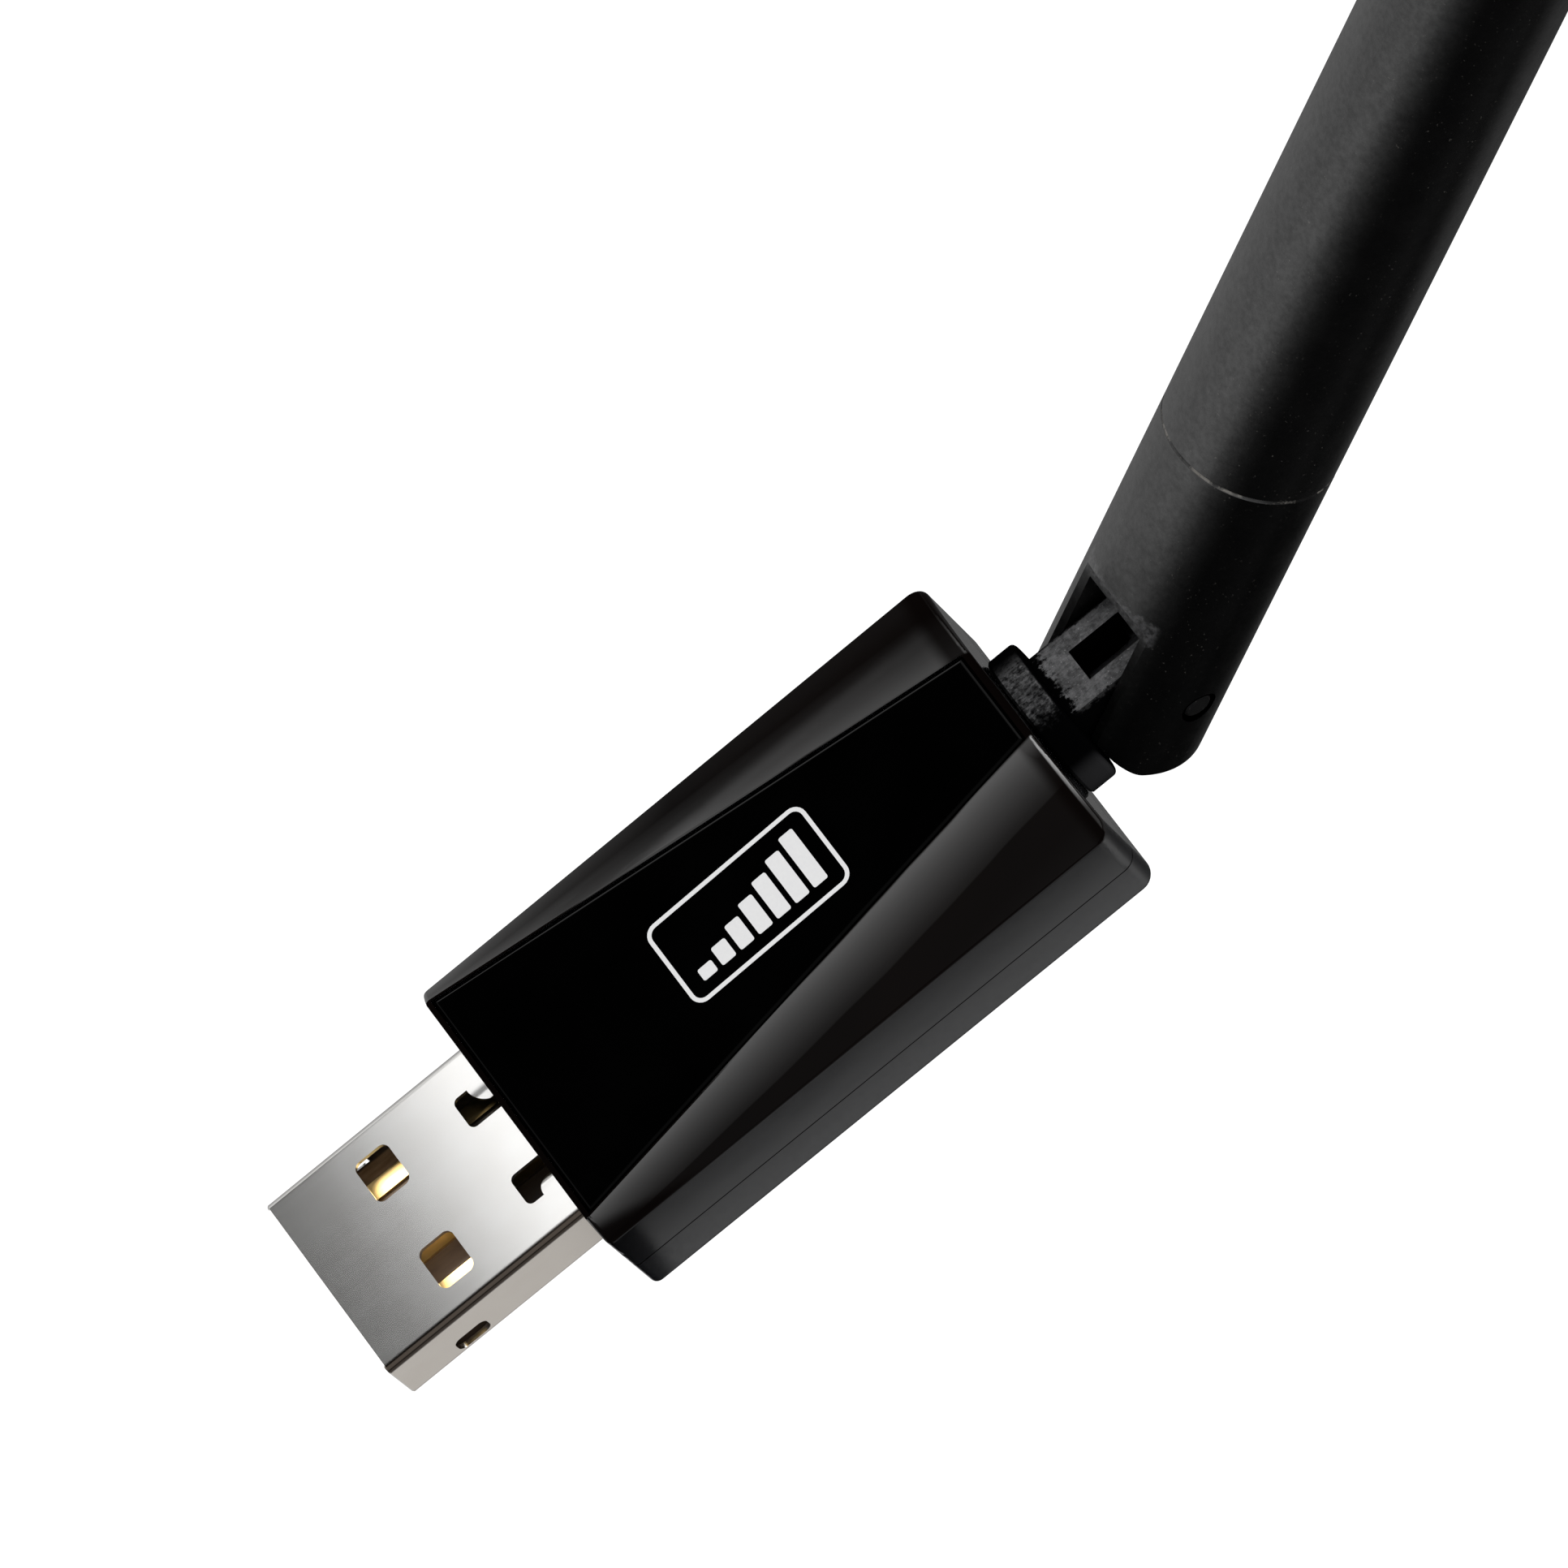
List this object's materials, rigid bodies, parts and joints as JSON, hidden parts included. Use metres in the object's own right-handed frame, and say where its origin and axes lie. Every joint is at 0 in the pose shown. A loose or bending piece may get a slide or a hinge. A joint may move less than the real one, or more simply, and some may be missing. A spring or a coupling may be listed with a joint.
{
  "type": "usb wifi adapter",
  "caption": "USB-A stick adapter with a faceted gloss housing, a swivel knuckle and a folding rod antenna for wireless networking.",
  "frame": {"origin": "centre of the USB plug's open end, midway between its top and bottom faces", "axes": "+X runs along the stick from the plug towards the antenna, +Z points out of the housing's top panel, +Y points across the stick"},
  "size_m": [0.1282, 0.0182, 0.0842],
  "materials": {
    "gloss_black_plastic": "polished",
    "gloss_black_panel": "mirror gloss",
    "matte_black_plastic": "fine texture",
    "nickel_steel": "bright nickel plate",
    "gold_plate": "gold plate",
    "dark_insulator": "moulded",
    "board_green": "solder mask",
    "chip_epoxy": "moulded epoxy",
    "tinned_steel": "tinned",
    "ferrite_grey": "sintered",
    "ceramic_tan": "ceramic",
    "resistor_black": "glazed",
    "lamp_resin": "clear resin",
    "cable_jacket": "smooth",
    "copper": "bare copper",
    "ptfe_white": "smooth",
    "brass": "drawn",
    "pin_steel": "blackened",
    "foam_grey": "foam"
  },
  "bodies": {
    "housing": {"top_shell": "gloss_black_plastic", "bottom_shell": "gloss_black_plastic", "top_inlay": "gloss_black_panel", "plug_shell": "nickel_steel", "plug_insulator": "dark_insulator", "contact_vbus": "gold_plate", "contact_data_minus": "gold_plate", "contact_data_plus": "gold_plate", "contact_ground": "gold_plate", "circuit_board": "board_green", "radio_chip": "chip_epoxy", "rf_shield_frame": "tinned_steel", "crystal_can": "tinned_steel", "voltage_regulator": "chip_epoxy", "power_inductor": "ferrite_grey", "ceramic_capacitors": "ceramic_tan", "chip_resistors": "resistor_black", "status_led": "lamp_resin", "coax_board_jacket": "cable_jacket", "coax_board_core": "copper"},
    "swivel": {"swivel_knuckle": "matte_black_plastic", "coax_knuckle_jacket": "cable_jacket", "coax_knuckle_core": "copper"},
    "antenna": {"antenna_fork": "matte_black_plastic", "hinge_pin_left": "pin_steel", "hinge_pin_right": "pin_steel", "antenna_tube": "matte_black_plastic", "coax_antenna_jacket": "cable_jacket", "coax_antenna_braid": "copper", "coax_antenna_dielectric": "ptfe_white", "radiator_wire": "copper", "radiator_sleeve": "brass", "tube_spacer_lower": "foam_grey", "tube_spacer_upper": "foam_grey"}
  },
  "joints": [
    {"name": "antenna_swivel", "type": "hinge", "parent": "housing", "child": "swivel", "pos_m": [0.0475, 0, 0.00027], "axis": [1, 0, 0], "range_deg": [-160, 160]},
    {"name": "antenna_fold", "type": "hinge", "parent": "swivel", "child": "antenna", "pos_m": [0.0549, 0, 0.00027], "axis": [0, -1, 0], "range_deg": [-46.5, 43.5]}
  ]
}
